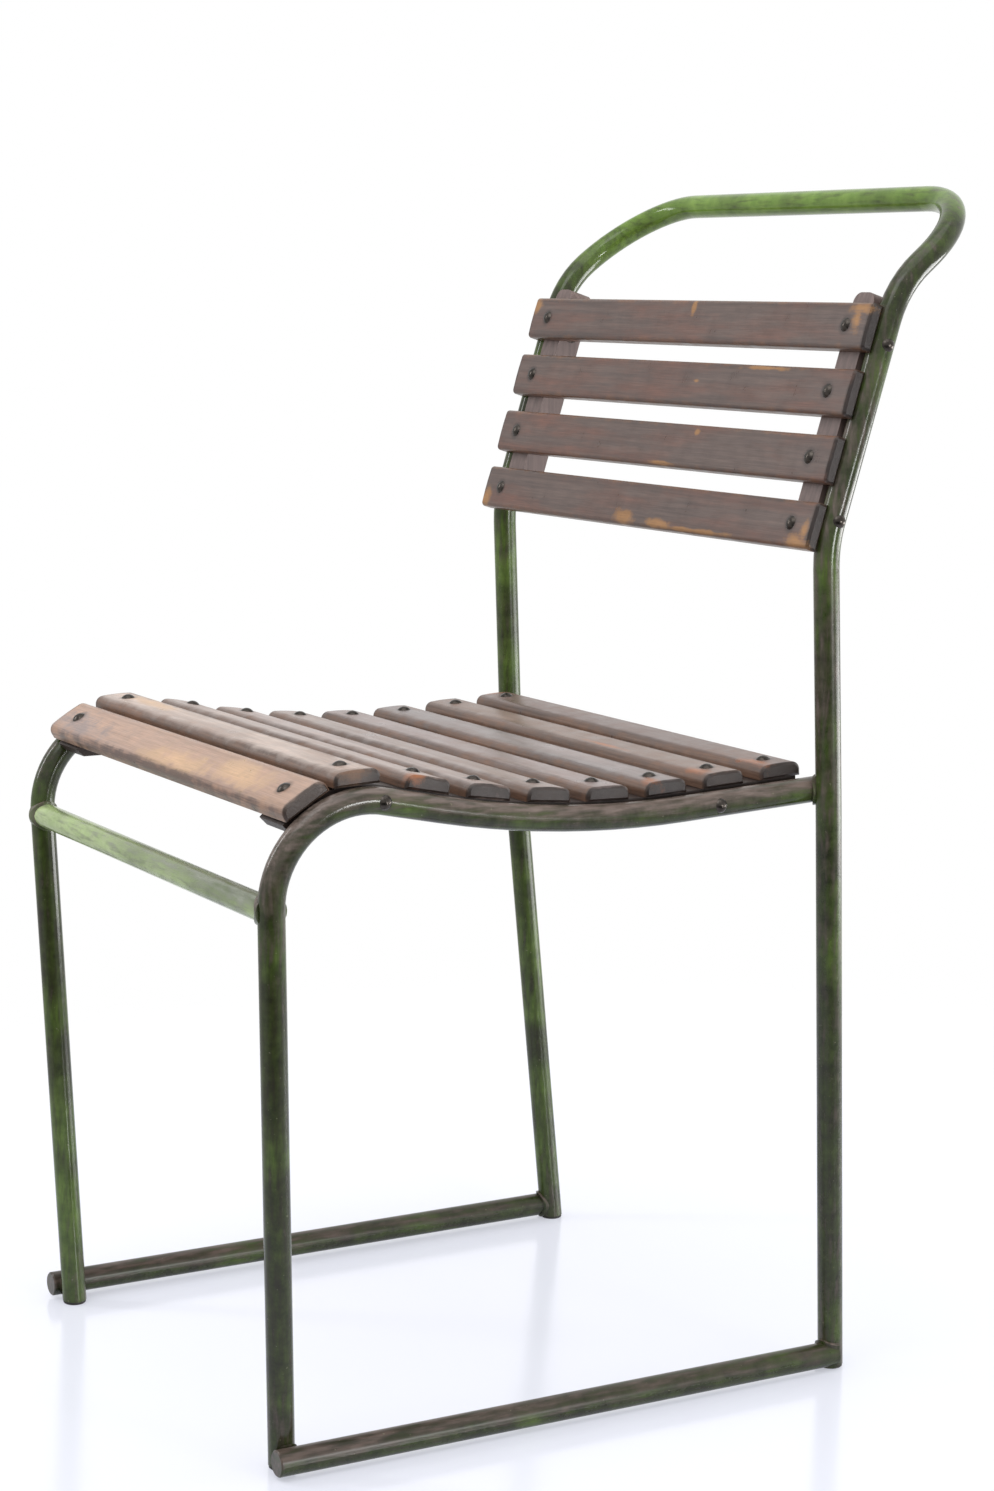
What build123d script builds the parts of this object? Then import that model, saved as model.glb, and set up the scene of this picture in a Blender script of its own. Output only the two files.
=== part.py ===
"""Garden chair: a welded frame of bent steel tube with wooden slats bolted to wooden battens.

Millimetres, +Z up, the sitter faces -Y and the sitter's left is +X.  The origin is on the floor,
at the middle of the chair's box.
"""
import os
from math import atan, cos, degrees, radians, sin, sqrt, tan

from build123d import *

os.makedirs("parts", exist_ok=True)

# Tube stock
TUBE_OD = 19.05
TUBE_WALL = 1.6
WELD = 2.2
COPE_GAP = 0.05

# Front leg, knee and seat rail, as bend points on the tube's axis.  Y runs back from the front foot.
FRONT_FOOT_INSIDE_KNEE = 21.0
KNEE_INSIDE_RAIL_END = 6.0
KNEE_Y = -18.2
KNEE_Z = 486.3
KNEE_RADIUS = 68.0
DIP_Y = 207.0
DIP_BELOW_KNEE = 46.3
DIP_RADIUS = 760.0
RAIL_END_OUTSIDE_SLAT = 7.0
RAIL_END_ABOVE_DIP = 12.3
RAIL_PAST_LEG = 4.0

# Back hoop, as bend points on the tube's axis
REAR_FOOT_INSIDE_UPRIGHT = 24.4
REAR_FOOT_Y = 456.2
UPRIGHT_OUTSIDE_RAIL_END = 13.4
SEAT_BEND_Y = 423.4
SEAT_BEND_BELOW_RAIL_END = 7.3
SEAT_BEND_RADIUS = 300.0
BACK_BEND_Y = 415.4
BACK_BEND_ABOVE_SEAT_BEND = 187.5
BACK_BEND_RADIUS = 100.0
BACK_LEAN = 17.2
BACK_RUN = 194.4
ROLL_BEND_RADIUS = 85.0
ROLL_LEAN = 52.0
ROLL_RUN = 105.0
TOP_CORNER_RADIUS = 76.5

# Stretcher, runners and feet
STRETCHER_BELOW_KNEE = 87.3
RUNNER_Z = 11.4
RUNNER_LAP = 18.6
RUNNER_NOSE = 10.5
RUNNER_REAR_OFFSET = 4.0
CAP_THICK = 2.2
CAP_EASE = 1.0
CAP_STEM = 12.0
PLUG_THICK = 2.5
PLUG_INSET = 0.5
PLUG_EASE = 0.8
PLUG_STEM = 18.0
FIT = 0.1

# Battens
SEAT_BATTEN_WIDTH = 38.0
SEAT_BATTEN_DEPTH = 18.0
BACK_BATTEN_WIDTH = 25.0
BACK_BATTEN_DEPTH = 20.0
BACK_BATTEN_FOOT_UP = 8.0
BACK_BATTEN_ABOVE = 10.0
BATTEN_PROUD = 0.3
BATTEN_LEAD = 2.0
BATTEN_TAPER = 10.0
BATTEN_REAR_MARGIN = 2.0
BATTEN_ROUND = 8.0
SEAT_BATTEN_GAP = 1.0
BATTEN_RELIEF = 0.3
SLAT_SEAT_GAP = 0.4

# Seat slats
SEAT_SLATS = 9
SEAT_SLAT_LENGTH = 430.0
SEAT_SLAT_WIDTH = 35.0
FRONT_SLAT_WIDTH = 37.5
SEAT_SLAT_THICK = 11.0
SEAT_SLAT_CROWN = 1.0
SEAT_SLAT_SHOULDER = 6.5
FRONT_SLAT_GAP = 1.2
SECOND_SLAT_ANGLE = 3.0
THIRD_SLAT_PITCH = 51.5
SEAT_SLAT_PITCH = 49.5
SLAT_END_EASE = 2.0

# Back slats
BACK_SLATS = 4
BACK_SLAT_PAST_UPRIGHT = 4.6
BACK_SLAT_WIDTH = 35.0
BACK_SLAT_THICK = 10.0
BACK_SLAT_CROWN = 0.6
BACK_SLAT_SHOULDER = 3.5
BACK_SLAT_PITCH = 49.6
BACK_SLAT_FOOT = -8.0

# Fasteners
SLAT_BOLT = 5.0
SLAT_BOLT_HEAD = 10.5
SLAT_BOLT_DOME = 2.6
SLAT_NUT = 8.0
SLAT_NUT_THICK = 3.5
SLAT_BOLT_TAIL = 2.0
FRAME_BOLT = 6.0
FRAME_BOLT_HEAD = 10.8
FRAME_BOLT_DOME = 2.4
FRAME_NUT = 10.0
FRAME_NUT_THICK = 5.0
FRAME_WASHER = 14.0
FRAME_WASHER_THICK = 1.2
FRAME_BOLT_TAIL = 2.0
SEAT_BOLT_BEHIND_SECOND = 14.5
SEAT_BOLT_BEFORE_EIGHTH = 13.0
UPRIGHT_BOLT_LOW = 18.0
UPRIGHT_BOLT_HIGH = 149.5
HOLE_PLAY = 0.4
HEAD_GAP = 0.05
NUT_POCKET = 5.6
POCKET_MARGIN = 2.0

# Worked-out sizes
TUBE_R = TUBE_OD / 2
BORE_R = TUBE_R - TUBE_WALL
BATTEN_TOP = TUBE_R + BATTEN_PROUD
RAIL_END_X = SEAT_SLAT_LENGTH / 2 + RAIL_END_OUTSIDE_SLAT
KNEE_X = RAIL_END_X - KNEE_INSIDE_RAIL_END
FRONT_FOOT_X = KNEE_X - FRONT_FOOT_INSIDE_KNEE
UPRIGHT_X = RAIL_END_X + UPRIGHT_OUTSIDE_RAIL_END
REAR_FOOT_X = UPRIGHT_X - REAR_FOOT_INSIDE_UPRIGHT
BACK_SLAT_LENGTH = 2 * (UPRIGHT_X + BACK_SLAT_PAST_UPRIGHT)
DIP_Z = KNEE_Z - DIP_BELOW_KNEE
RAIL_END_Z = DIP_Z + RAIL_END_ABOVE_DIP
SEAT_BEND_Z = RAIL_END_Z - SEAT_BEND_BELOW_RAIL_END
BACK_BEND_Z = SEAT_BEND_Z + BACK_BEND_ABOVE_SEAT_BEND
STRETCHER_Z = KNEE_Z - STRETCHER_BELOW_KNEE
WELD_STUB = 3 * TUBE_OD
FAR = 2000.0
MIDDLE = Plane.YZ


def bent(points, radii):
    """Axis of a bent bar: straight runs through the points, with one bend radius per corner."""
    return FilletPolyline(*points, radius=radii)


def bar(axis, radius):
    """A round bar along an axis."""
    start = Plane(origin=axis @ 0, z_dir=axis % 0)
    return sweep(start * Circle(radius), path=axis)


def tube(axis):
    """A length of the frame tube along an axis."""
    return bar(axis, TUBE_R) - bar(axis, BORE_R)


def above(height):
    """Everything over a level, for cutting a leg off flat."""
    return Pos(0, 0, height + FAR / 2) * Box(FAR, FAR, FAR)


def on_line(a, b, height):
    """The point at a height on the line through two points."""
    return a + (b - a) * ((height - a.Z) / (b.Z - a.Z))


def both(part):
    """A piece on the sitter's left and its mirror image on the right."""
    return part, mirror(part, about=MIDDLE)


def dome_bolt(bolt, head, dome, length):
    """A dome-headed bolt along -Z, with the underside of its head at the origin."""
    rim = head / 2
    ball = (rim**2 + dome**2) / (2 * dome)
    half_way = rim / 2
    cheek = sqrt(ball**2 - half_way**2) - (ball - dome)
    outline = Polyline((rim, 0), (bolt / 2, 0), (bolt / 2, -length), (0, -length), (0, dome))
    crest = ThreePointArc((0, dome), (half_way, cheek), (rim, 0))
    return revolve(Plane.XZ * make_face([outline, crest]), Axis.Z)


def square_nut(across, thick, bolt):
    """A square nut with its seat at the origin, standing along -Z."""
    block = Pos(0, 0, -thick / 2) * Box(across, across, thick)
    return block - Pos(0, 0, -thick / 2) * Cylinder((bolt + HOLE_PLAY) / 2, 2 * thick)


def washer(across, thick, bolt):
    """A flat washer with its seat at the origin, standing along -Z."""
    disc = Cylinder(across / 2, thick) - Cylinder((bolt + HOLE_PLAY) / 2, 2 * thick)
    return Pos(0, 0, -thick / 2) * disc


def drill(bolt, depth):
    """The clearance hole for a bolt, centred on the origin along Z."""
    return Cylinder((bolt + HOLE_PLAY) / 2, 2 * depth)


def slat_blank(width, thick, crown, shoulder, length):
    """A slat along Z, its flat underside on the X axis and its crowned face towards +Y."""
    side = thick - crown
    flank = Polyline((-width / 2, side), (-width / 2, 0), (width / 2, 0), (width / 2, side))
    face = make_face([flank, ThreePointArc((width / 2, side), (0, thick), (-width / 2, side))])
    face = fillet(face.vertices().sort_by(Axis.Y)[-2:], shoulder)
    slat = Pos(0, 0, -length / 2) * extrude(face, amount=length)
    ends = slat.faces().sort_by(Axis.Z)
    return chamfer(ends[0].edges() + ends[-1].edges(), SLAT_END_EASE)


# Axes of the bent tubes
rear_foot = Vector(REAR_FOOT_X, REAR_FOOT_Y, 0)
seat_bend = Vector(UPRIGHT_X, SEAT_BEND_Y, SEAT_BEND_Z)
back_bend = Vector(UPRIGHT_X, BACK_BEND_Y, BACK_BEND_Z)
up_back = Vector(0, sin(radians(BACK_LEAN)), cos(radians(BACK_LEAN)))
up_roll = Vector(0, sin(radians(ROLL_LEAN)), cos(radians(ROLL_LEAN)))
roll_bend = back_bend + up_back * BACK_RUN
top_corner = roll_bend + up_roll * ROLL_RUN
below_floor = -TUBE_OD
hoop_side = [on_line(rear_foot, seat_bend, below_floor), seat_bend, back_bend, roll_bend, top_corner]
hoop_far_side = [Vector(-point.X, point.Y, point.Z) for point in reversed(hoop_side)]
hoop_radii = [SEAT_BEND_RADIUS, BACK_BEND_RADIUS, ROLL_BEND_RADIUS, TOP_CORNER_RADIUS]
hoop_axis = bent(hoop_side + hoop_far_side, hoop_radii + hoop_radii[::-1])

front_foot = Vector(FRONT_FOOT_X, 0, 0)
knee = Vector(KNEE_X, KNEE_Y, KNEE_Z)
rear_leg_at_rail = on_line(rear_foot, seat_bend, RAIL_END_Z)
rail_end = Vector(RAIL_END_X, rear_leg_at_rail.Y + RAIL_PAST_LEG, RAIL_END_Z)


def rail_x(y):
    """How far out the seat rail's axis is, at a distance back from the front foot."""
    return KNEE_X + (RAIL_END_X - KNEE_X) * (y - KNEE_Y) / (rail_end.Y - KNEE_Y)


dip = Vector(rail_x(DIP_Y), DIP_Y, DIP_Z)
leg_axis = bent([on_line(front_foot, knee, below_floor), knee, dip, rail_end], [KNEE_RADIUS, DIP_RADIUS])

# The same seat curve without the leg, seen from the side, on which slats and battens are set out
side_knee = Vector(0, KNEE_Y, KNEE_Z)
side_dip = Vector(0, DIP_Y, DIP_Z)
side_rail_end = Vector(0, rail_end.Y, RAIL_END_Z)
rail_slope = (side_dip - side_knee).normalized()
rail_normal = Vector(0, -rail_slope.Z, rail_slope.Y)
half_turn = side_knee.get_angle(rail_slope) / 2
knee_reach = KNEE_RADIUS * tan(radians(half_turn))
knee_centre = side_knee + rail_slope * knee_reach - rail_normal * KNEE_RADIUS


def on_knee(angle):
    """The point on the knee's axis at an angle forward of its top, and the way the rail runs there."""
    out = Vector(0, -sin(radians(angle)), cos(radians(angle)))
    return knee_centre + out * KNEE_RADIUS, Vector(0, out.Z, -out.Y)


slat_reach = KNEE_RADIUS + BATTEN_TOP + SLAT_SEAT_GAP
slat_turn = 2 * atan((FRONT_SLAT_WIDTH / 2 + FRONT_SLAT_GAP) / slat_reach)
front_slat_angle = SECOND_SLAT_ANGLE + degrees(slat_turn)
batten_front_angle = front_slat_angle + degrees(atan(FRONT_SLAT_WIDTH / 2 / slat_reach))
front_point, front_way = on_knee(batten_front_angle)
lead_start = front_point - front_way * BATTEN_LEAD
to_rail = (side_knee - front_point).dot(rail_normal) / front_way.dot(rail_normal)
lead_corner = front_point + front_way * to_rail
slat_curve = bent([lead_start, lead_corner, side_dip, side_rail_end], [KNEE_RADIUS, DIP_RADIUS])
first_at = BATTEN_LEAD + KNEE_RADIUS * radians(batten_front_angle - front_slat_angle)
second_at = BATTEN_LEAD + KNEE_RADIUS * radians(batten_front_angle - SECOND_SLAT_ANGLE)
third_at = second_at + THIRD_SLAT_PITCH
slat_places = [first_at, second_at] + [third_at + SEAT_SLAT_PITCH * i for i in range(SEAT_SLATS - 2)]
slat_widths = [FRONT_SLAT_WIDTH] + [SEAT_SLAT_WIDTH] * (SEAT_SLATS - 1)


def seat_plane(place):
    """Frame of a seat slat: X along the seat's curve, Y out of the seat, Z across the chair."""
    spot = slat_curve.position_at(place, position_mode=PositionMode.LENGTH)
    way = slat_curve.tangent_at(place, position_mode=PositionMode.LENGTH)
    out = Vector(0, -way.Z, way.Y)
    return Plane(origin=spot + out * (BATTEN_TOP + SLAT_SEAT_GAP), x_dir=way, z_dir=(1, 0, 0))


# Frame of the back: X across the chair, Y up the back, Z out of its front
back_plane = Plane(origin=(0, back_bend.Y, back_bend.Z), x_dir=(1, 0, 0), z_dir=(0, -up_back.Z, up_back.Y))
back_batten_x = UPRIGHT_X - TUBE_R - BACK_BATTEN_WIDTH / 2
lowest_slat = BACK_SLAT_FOOT + BACK_SLAT_WIDTH / 2
slat_heights = [lowest_slat + BACK_SLAT_PITCH * (BACK_SLATS - 1 - i) for i in range(BACK_SLATS)]

# Tubes, each coped to the ones that it meets
hoop_cope = bar(hoop_axis, TUBE_R + COPE_GAP)
leg_cope = bar(leg_axis, TUBE_R + COPE_GAP)
hoop = tube(hoop_axis) & above(PLUG_THICK)
leg = (tube(leg_axis) & above(PLUG_THICK)) - hoop_cope

leg_at_stretcher = on_line(front_foot, knee, STRETCHER_Z)
stretcher_middle = Vector(0, leg_at_stretcher.Y, STRETCHER_Z)
stretcher_axis = Line(stretcher_middle * 2 - leg_at_stretcher, leg_at_stretcher)
stretcher = tube(stretcher_axis) - leg_cope - mirror(leg_cope, about=MIDDLE)

leg_at_runner = on_line(front_foot, knee, RUNNER_Z)
rear_leg_at_runner = on_line(rear_foot, seat_bend, RUNNER_Z)
runner_nose = Vector(leg_at_runner.X + RUNNER_LAP, leg_at_runner.Y - RUNNER_NOSE, RUNNER_Z)
runner_tail = Vector(rear_leg_at_runner.X + RUNNER_REAR_OFFSET, rear_leg_at_runner.Y, RUNNER_Z)
runner_axis = Line(runner_nose, runner_tail)
runner = tube(runner_axis) - leg_cope - hoop_cope

cap_plane = Plane(origin=runner_nose, z_dir=runner_nose - runner_tail)
cap_stem = Pos(0, 0, -CAP_STEM / 2) * Cylinder(BORE_R - FIT, CAP_STEM)
cap_disc = Pos(0, 0, CAP_THICK / 2) * Cylinder(TUBE_R, CAP_THICK)
cap_disc = chamfer(cap_disc.edges().sort_by(Axis.Z)[-1:], CAP_EASE)
runner_cap = cap_plane * (cap_disc + cap_stem)


def foot_plug(foot, top):
    """The plug in the open end of a leg, with its flat foot on the floor."""
    along = (top - foot).normalized()
    axis = Line(foot - along * TUBE_OD, foot + along * (PLUG_THICK + PLUG_STEM))
    foot_disc = bar(axis, TUBE_R - PLUG_INSET) & Pos(0, 0, PLUG_THICK / 2) * Box(FAR, FAR, PLUG_THICK)
    foot_disc = chamfer(foot_disc.edges().sort_by(Axis.Z)[:1], PLUG_EASE)
    return foot_disc + (bar(axis, BORE_R - FIT) & above(PLUG_THICK))


def bead(axis_a, axis_b):
    """The weld in the corner between two crossing tubes."""
    corner = bar(axis_a, TUBE_R + WELD) & bar(axis_b, TUBE_R + WELD)
    return corner - bar(axis_a, TUBE_R + COPE_GAP) - bar(axis_b, TUBE_R + COPE_GAP)


def stub(a, b, low, high):
    """The piece between two heights of a straight axis through two points."""
    return Line(on_line(a, b, low), on_line(a, b, high))


rail_stub = Line(rail_end - (rail_end - dip).normalized() * WELD_STUB, rail_end)
front_foot_stub = stub(front_foot, knee, PLUG_THICK, WELD_STUB)
rear_foot_stub = stub(rear_foot, seat_bend, PLUG_THICK, WELD_STUB)
side_welds = [
    bead(rail_stub, hoop_axis),
    bead(runner_axis, front_foot_stub),
    bead(runner_axis, rear_foot_stub),
    bead(Line(stretcher_middle, leg_at_stretcher), leg_axis),
]

# Battens
seat_batten_out = TUBE_R + SEAT_BATTEN_GAP + SEAT_BATTEN_WIDTH / 2
rail_out = Vector(rail_end.Y - KNEE_Y, KNEE_X - RAIL_END_X, 0).normalized()
last_slat = seat_plane(slat_places[-1])
tail_y = last_slat.origin.Y + SEAT_SLAT_WIDTH / 2 - BATTEN_REAR_MARGIN
tail = side_dip + (side_rail_end - side_dip) * ((tail_y - DIP_Y) / (rail_end.Y - DIP_Y))
batten_corners = [lead_start, lead_corner, side_dip, tail]
batten_axis = bent(
    [Vector(rail_x(p.Y), p.Y, p.Z) - rail_out * seat_batten_out for p in batten_corners],
    [KNEE_RADIUS, DIP_RADIUS],
)
batten_start = Plane(origin=batten_axis @ 0, x_dir=-rail_out, z_dir=batten_axis % 0)
batten_section = Pos(0, BATTEN_TOP - SEAT_BATTEN_DEPTH / 2) * Rectangle(SEAT_BATTEN_WIDTH, SEAT_BATTEN_DEPTH)
seat_batten = sweep(batten_start * batten_section, path=batten_axis) - bar(leg_axis, TUBE_R + BATTEN_RELIEF)

# The batten's front end is cut away below, so that it stays out of sight under the first slat
underside = BATTEN_TOP - SEAT_BATTEN_DEPTH
taper_plane = Plane(origin=batten_axis @ 0, x_dir=batten_axis % 0, z_dir=rail_out)
taper_corner = Vector(-BATTEN_TAPER, underside - BATTEN_TAPER)
taper_outline = Polyline(
    taper_corner,
    taper_corner + Vector(3 * BATTEN_TAPER, 0),
    taper_corner + Vector(0, 3 * BATTEN_TAPER),
    close=True,
)
seat_batten -= extrude(taper_plane * make_face(taper_outline), amount=SEAT_BATTEN_WIDTH, both=True)

back_foot = slat_heights[-1] - BACK_SLAT_WIDTH / 2 + BACK_BATTEN_FOOT_UP
back_head = slat_heights[0] + BACK_SLAT_WIDTH / 2 + BACK_BATTEN_ABOVE
back_batten = Box(BACK_BATTEN_WIDTH, back_head - back_foot, BACK_BATTEN_DEPTH)
back_batten = fillet(back_batten.edges().filter_by(Axis.Z).sort_by(Axis.Y)[-2:], BATTEN_ROUND)
back_batten_middle = Pos(back_batten_x, (back_head + back_foot) / 2, BATTEN_TOP - BACK_BATTEN_DEPTH / 2)
back_batten = back_plane * (back_batten_middle * back_batten)

# Slats, with the bolts that hold them
seat_drill = drill(SLAT_BOLT, SEAT_SLAT_THICK + 2 * SEAT_BATTEN_DEPTH)
back_drill = drill(SLAT_BOLT, BACK_SLAT_THICK + 2 * BACK_BATTEN_DEPTH)
nut_pocket = Cylinder(SLAT_NUT / sqrt(2) + POCKET_MARGIN, 2 * NUT_POCKET)
slat_nut = square_nut(SLAT_NUT, SLAT_NUT_THICK, SLAT_BOLT)


def bolt_length(*layers):
    """Length under the head of a bolt that clamps these layers and takes a slat nut."""
    return sum(layers) + SLAT_NUT_THICK + SLAT_BOLT_TAIL


seat_slats = []
seat_slat_bolts = []
seat_slat_nuts = []
seat_rounding = (SEAT_SLAT_CROWN, SEAT_SLAT_SHOULDER)
seat_grip = HEAD_GAP + SEAT_SLAT_THICK + SLAT_SEAT_GAP + SEAT_BATTEN_DEPTH - NUT_POCKET
seat_bolt = dome_bolt(SLAT_BOLT, SLAT_BOLT_HEAD, SLAT_BOLT_DOME, bolt_length(seat_grip))
for place, width in zip(slat_places, slat_widths):
    plane = seat_plane(place)
    slat = plane * slat_blank(width, SEAT_SLAT_THICK, *seat_rounding, SEAT_SLAT_LENGTH)
    for side in (1, -1):
        across = side * (rail_x(plane.origin.Y) - seat_batten_out)
        top = plane.origin + plane.y_dir * (SEAT_SLAT_THICK + HEAD_GAP) + Vector(across, 0, 0)
        head = Plane(origin=top, x_dir=(1, 0, 0), z_dir=plane.y_dir)
        slat -= head * seat_drill
        seat_slat_bolts.append(head * seat_bolt)
        seat_slat_nuts.append(head * Pos(0, 0, -seat_grip) * slat_nut)
        if side > 0:
            seat_batten -= head * seat_drill
            seat_batten -= head * Pos(0, 0, -seat_grip - NUT_POCKET) * nut_pocket
    seat_slats.append(slat)

back_slats = []
back_slat_bolts = []
back_slat_nuts = []
back_rounding = (BACK_SLAT_CROWN, BACK_SLAT_SHOULDER)
back_blank = slat_blank(BACK_SLAT_WIDTH, BACK_SLAT_THICK, *back_rounding, BACK_SLAT_LENGTH)
back_grip = HEAD_GAP + BACK_SLAT_THICK + BACK_BATTEN_DEPTH
back_bolt = dome_bolt(SLAT_BOLT, SLAT_BOLT_HEAD, SLAT_BOLT_DOME, bolt_length(back_grip))
for height in slat_heights:
    seat = back_plane.origin + up_back * height + back_plane.z_dir * BATTEN_TOP
    slat = Plane(origin=seat, x_dir=up_back, z_dir=(1, 0, 0)) * back_blank
    for side in (1, -1):
        head = back_plane * Pos(side * back_batten_x, height, BATTEN_TOP + BACK_SLAT_THICK + HEAD_GAP)
        slat -= head * back_drill
        back_slat_bolts.append(head * back_bolt)
        back_slat_nuts.append(head * Pos(0, 0, -back_grip) * slat_nut)
        if side > 0:
            back_batten -= head * back_drill
    back_slats.append(slat)

# Side bolts through tube and batten: the head sits on the outside of the tube, the nut inside the batten
head_seat = sqrt(TUBE_R**2 - (FRAME_BOLT_HEAD / 2) ** 2)
frame_washer = washer(FRAME_WASHER, FRAME_WASHER_THICK, FRAME_BOLT)
frame_nut = square_nut(FRAME_NUT, FRAME_NUT_THICK, FRAME_BOLT)


def side_bolt(place, tube_cope, batten_inside):
    """Bolt, washer and nut on a frame whose origin is on the tube's axis and whose Z points outwards."""
    shank_end = batten_inside + FRAME_WASHER_THICK + FRAME_NUT_THICK + FRAME_BOLT_TAIL
    dome = TUBE_R + FRAME_BOLT_DOME - head_seat
    whole = Pos(0, 0, head_seat) * dome_bolt(FRAME_BOLT, FRAME_BOLT_HEAD, dome, head_seat + shank_end)
    outside = Pos(0, 0, head_seat + TUBE_OD / 2) * Box(2 * TUBE_OD, 2 * TUBE_OD, TUBE_OD)
    head = place * (whole & outside) - tube_cope
    inside_head = TUBE_R + FRAME_BOLT_DOME / 2
    shank = Pos(0, 0, (inside_head - shank_end) / 2) * Cylinder(FRAME_BOLT / 2, inside_head + shank_end)
    seat = place * Pos(0, 0, -batten_inside)
    return head + place * shank, seat * frame_washer, seat * Pos(0, 0, -FRAME_WASHER_THICK) * frame_nut


rail_places = []
for place in (second_at + SEAT_BOLT_BEHIND_SECOND, slat_places[-2] - SEAT_BOLT_BEFORE_EIGHTH):
    spot = slat_curve.position_at(place, position_mode=PositionMode.LENGTH)
    rail_places.append(Location(Plane(origin=(rail_x(spot.Y), spot.Y, spot.Z), z_dir=rail_out)))
upright_places = []
for height in (UPRIGHT_BOLT_LOW, UPRIGHT_BOLT_HIGH):
    spot = back_bend + up_back * height
    upright_places.append(Location(Plane(origin=spot, z_dir=(1, 0, 0))))

frame_drill = drill(FRAME_BOLT, TUBE_OD + SEAT_BATTEN_WIDTH)
rail_sets = [side_bolt(place, leg_cope, seat_batten_out + SEAT_BATTEN_WIDTH / 2) for place in rail_places]
upright_sets = [side_bolt(place, hoop_cope, TUBE_R + BACK_BATTEN_WIDTH) for place in upright_places]
for place in rail_places:
    leg -= place * frame_drill
    seat_batten -= place * frame_drill
for place in upright_places:
    hole = place * frame_drill
    hoop -= hole
    hoop -= mirror(hole, about=MIDDLE)
    back_batten -= hole


def group(parts):
    """Several solids of the same kind as one node."""
    return Compound(children=[solid for part in parts for solid in part.solids()])


def mirrored(parts):
    """The pieces on the sitter's left, then their mirror images."""
    return [one for part in parts for one in both(part)]


nodes = {"back_hoop": hoop, "front_stretcher": stretcher, "frame_welds": group(mirrored(side_welds))}
pairs = {
    "front_leg": leg,
    "runner": runner,
    "runner_cap": runner_cap,
    "foot_plug_front": foot_plug(front_foot, knee),
    "foot_plug_rear": foot_plug(rear_foot, seat_bend),
    "seat_batten": seat_batten,
    "back_batten": back_batten,
}
for name, piece in pairs.items():
    nodes[name + "_left"], nodes[name + "_right"] = both(piece)
for number, slat in enumerate(seat_slats, start=1):
    nodes[f"seat_slat_{number}"] = slat
for number, slat in enumerate(back_slats, start=1):
    nodes[f"back_slat_{number}"] = slat
nodes["seat_slat_bolts"] = group(seat_slat_bolts)
nodes["seat_slat_nuts"] = group(seat_slat_nuts)
nodes["back_slat_bolts"] = group(back_slat_bolts)
nodes["back_slat_nuts"] = group(back_slat_nuts)
for kind, index in (("bolts", 0), ("washers", 1), ("nuts", 2)):
    nodes[f"seat_rail_{kind}"] = group(mirrored([one[index] for one in rail_sets]))
    nodes[f"upright_{kind}"] = group(mirrored([one[index] for one in upright_sets]))

front_edge = min(part.bounding_box().min.Y for part in nodes.values())
rear_edge = max(part.bounding_box().max.Y for part in nodes.values())
to_middle = Pos(0, -(front_edge + rear_edge) / 2, 0)
for name, part in nodes.items():
    export_step(to_middle * part, f"parts/{name}.step")
print(len(nodes), "nodes, moved back by", round((front_edge + rear_edge) / 2, 3))
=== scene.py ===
# %% [markdown]
# # A garden chair of bent steel tube and wooden slats
# The chair was modelled as solids first. Here we dress those solids: we give every piece the finish that
# the real one has after decades outdoors, and set it in a plain white studio. We load the solids as a
# fixed frame and keep their box.

# %% Load the chair
import bpy
import math
from mathutils import Matrix, Vector


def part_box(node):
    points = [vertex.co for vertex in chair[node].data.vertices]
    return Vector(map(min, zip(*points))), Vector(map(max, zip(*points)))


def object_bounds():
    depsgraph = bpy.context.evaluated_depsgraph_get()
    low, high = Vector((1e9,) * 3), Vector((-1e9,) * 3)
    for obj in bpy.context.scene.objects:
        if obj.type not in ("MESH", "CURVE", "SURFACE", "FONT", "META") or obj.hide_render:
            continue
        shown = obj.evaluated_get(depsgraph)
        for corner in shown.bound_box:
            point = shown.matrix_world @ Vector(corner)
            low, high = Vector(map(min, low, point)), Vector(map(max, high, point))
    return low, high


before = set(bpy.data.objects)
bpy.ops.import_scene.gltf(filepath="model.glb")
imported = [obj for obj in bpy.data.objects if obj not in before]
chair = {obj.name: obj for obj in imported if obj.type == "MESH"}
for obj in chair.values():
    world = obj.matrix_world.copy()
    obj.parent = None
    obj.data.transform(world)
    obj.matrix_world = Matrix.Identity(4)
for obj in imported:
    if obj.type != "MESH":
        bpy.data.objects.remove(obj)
cad_box = [list(corner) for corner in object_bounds()]
MM = 0.001
print(len(chair), "pieces, box", [[round(v, 3) for v in corner] for corner in cad_box])

# %% [markdown]
# Two helpers serve every finish. Colours are given as hex codes, which are sRGB, while shaders
# count in linear light, so one function converts them. The other adds a single node: settings come as
# keywords, and what goes into its sockets as a list in their order, or as a dictionary. A node given as a
# value is linked from its first output that is in use. A Mix node has its own sockets for each kind of
# data, so the numbers of the ones that we fill get names.

# %% Colour and node helpers
FACTOR = 0
A_FLOAT, B_FLOAT = 2, 3
FIRST, SECOND = 6, 7


def linear(code):
    """An sRGB hex colour as linear RGBA."""
    parts = [int(code[i:i + 2], 16) / 255 for i in (1, 3, 5)]
    return [p / 12.92 if p <= 0.04045 else ((p + 0.055) / 1.055) ** 2.4 for p in parts] + [1.0]


def add(tree, kind, sockets=(), **settings):
    """Add one node to a tree, with its settings and with values or links in its sockets."""
    node = tree.nodes.new("ShaderNode" + kind)
    for name, value in settings.items():
        setattr(node, name, value)
    for key, value in sockets.items() if isinstance(sockets, dict) else enumerate(sockets):
        if isinstance(value, bpy.types.Node):
            value = next(out for out in value.outputs if out.enabled)
        if isinstance(value, bpy.types.NodeSocket):
            tree.links.new(value, node.inputs[key])
        else:
            node.inputs[key].default_value = linear(value) if isinstance(value, str) else value
    return node


print("white is", linear("#ffffff"))

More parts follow.
